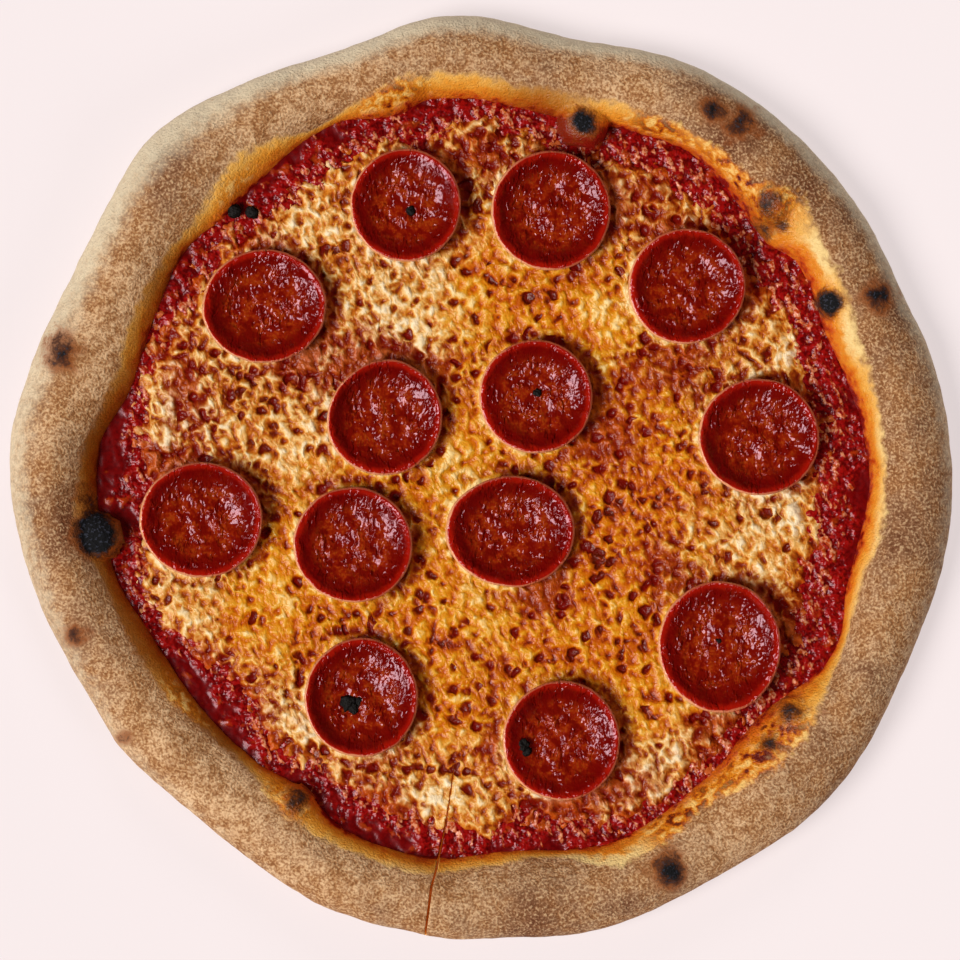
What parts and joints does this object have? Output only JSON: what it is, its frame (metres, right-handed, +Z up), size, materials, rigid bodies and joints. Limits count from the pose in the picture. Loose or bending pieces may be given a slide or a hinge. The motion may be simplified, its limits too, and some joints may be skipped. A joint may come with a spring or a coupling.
{
  "type": "pepperoni pizza",
  "caption": "Whole round pizza with a puffed, blistered rim round sauce, browned cheese and curled pepperoni slices, and a short slit in its rim.",
  "frame": {"origin": "on the flat underside, below the middle of the pizza", "axes": "+Z up through the pizza, +Y towards the top of the picture, +X towards its right"},
  "size_m": [0.3007, 0.2948, 0.02],
  "materials": {
    "crust": "matte baked dough, dusted with flour and stained with oil inside the rim",
    "sauce": "wet, pulpy tomato sauce",
    "cheese": "melted, browned and oily mozzarella",
    "pepperoni": "oily cured sausage, wrinkled by baking"
  },
  "bodies": {
    "root": {"crust": "crust", "sauce": "sauce", "cheese": "cheese", "pepperoni_01": "pepperoni", "pepperoni_02": "pepperoni", "pepperoni_03": "pepperoni", "pepperoni_04": "pepperoni", "pepperoni_05": "pepperoni", "pepperoni_06": "pepperoni", "pepperoni_07": "pepperoni", "pepperoni_08": "pepperoni", "pepperoni_09": "pepperoni", "pepperoni_10": "pepperoni", "pepperoni_11": "pepperoni", "pepperoni_12": "pepperoni", "pepperoni_13": "pepperoni"}
  },
  "joints": []
}
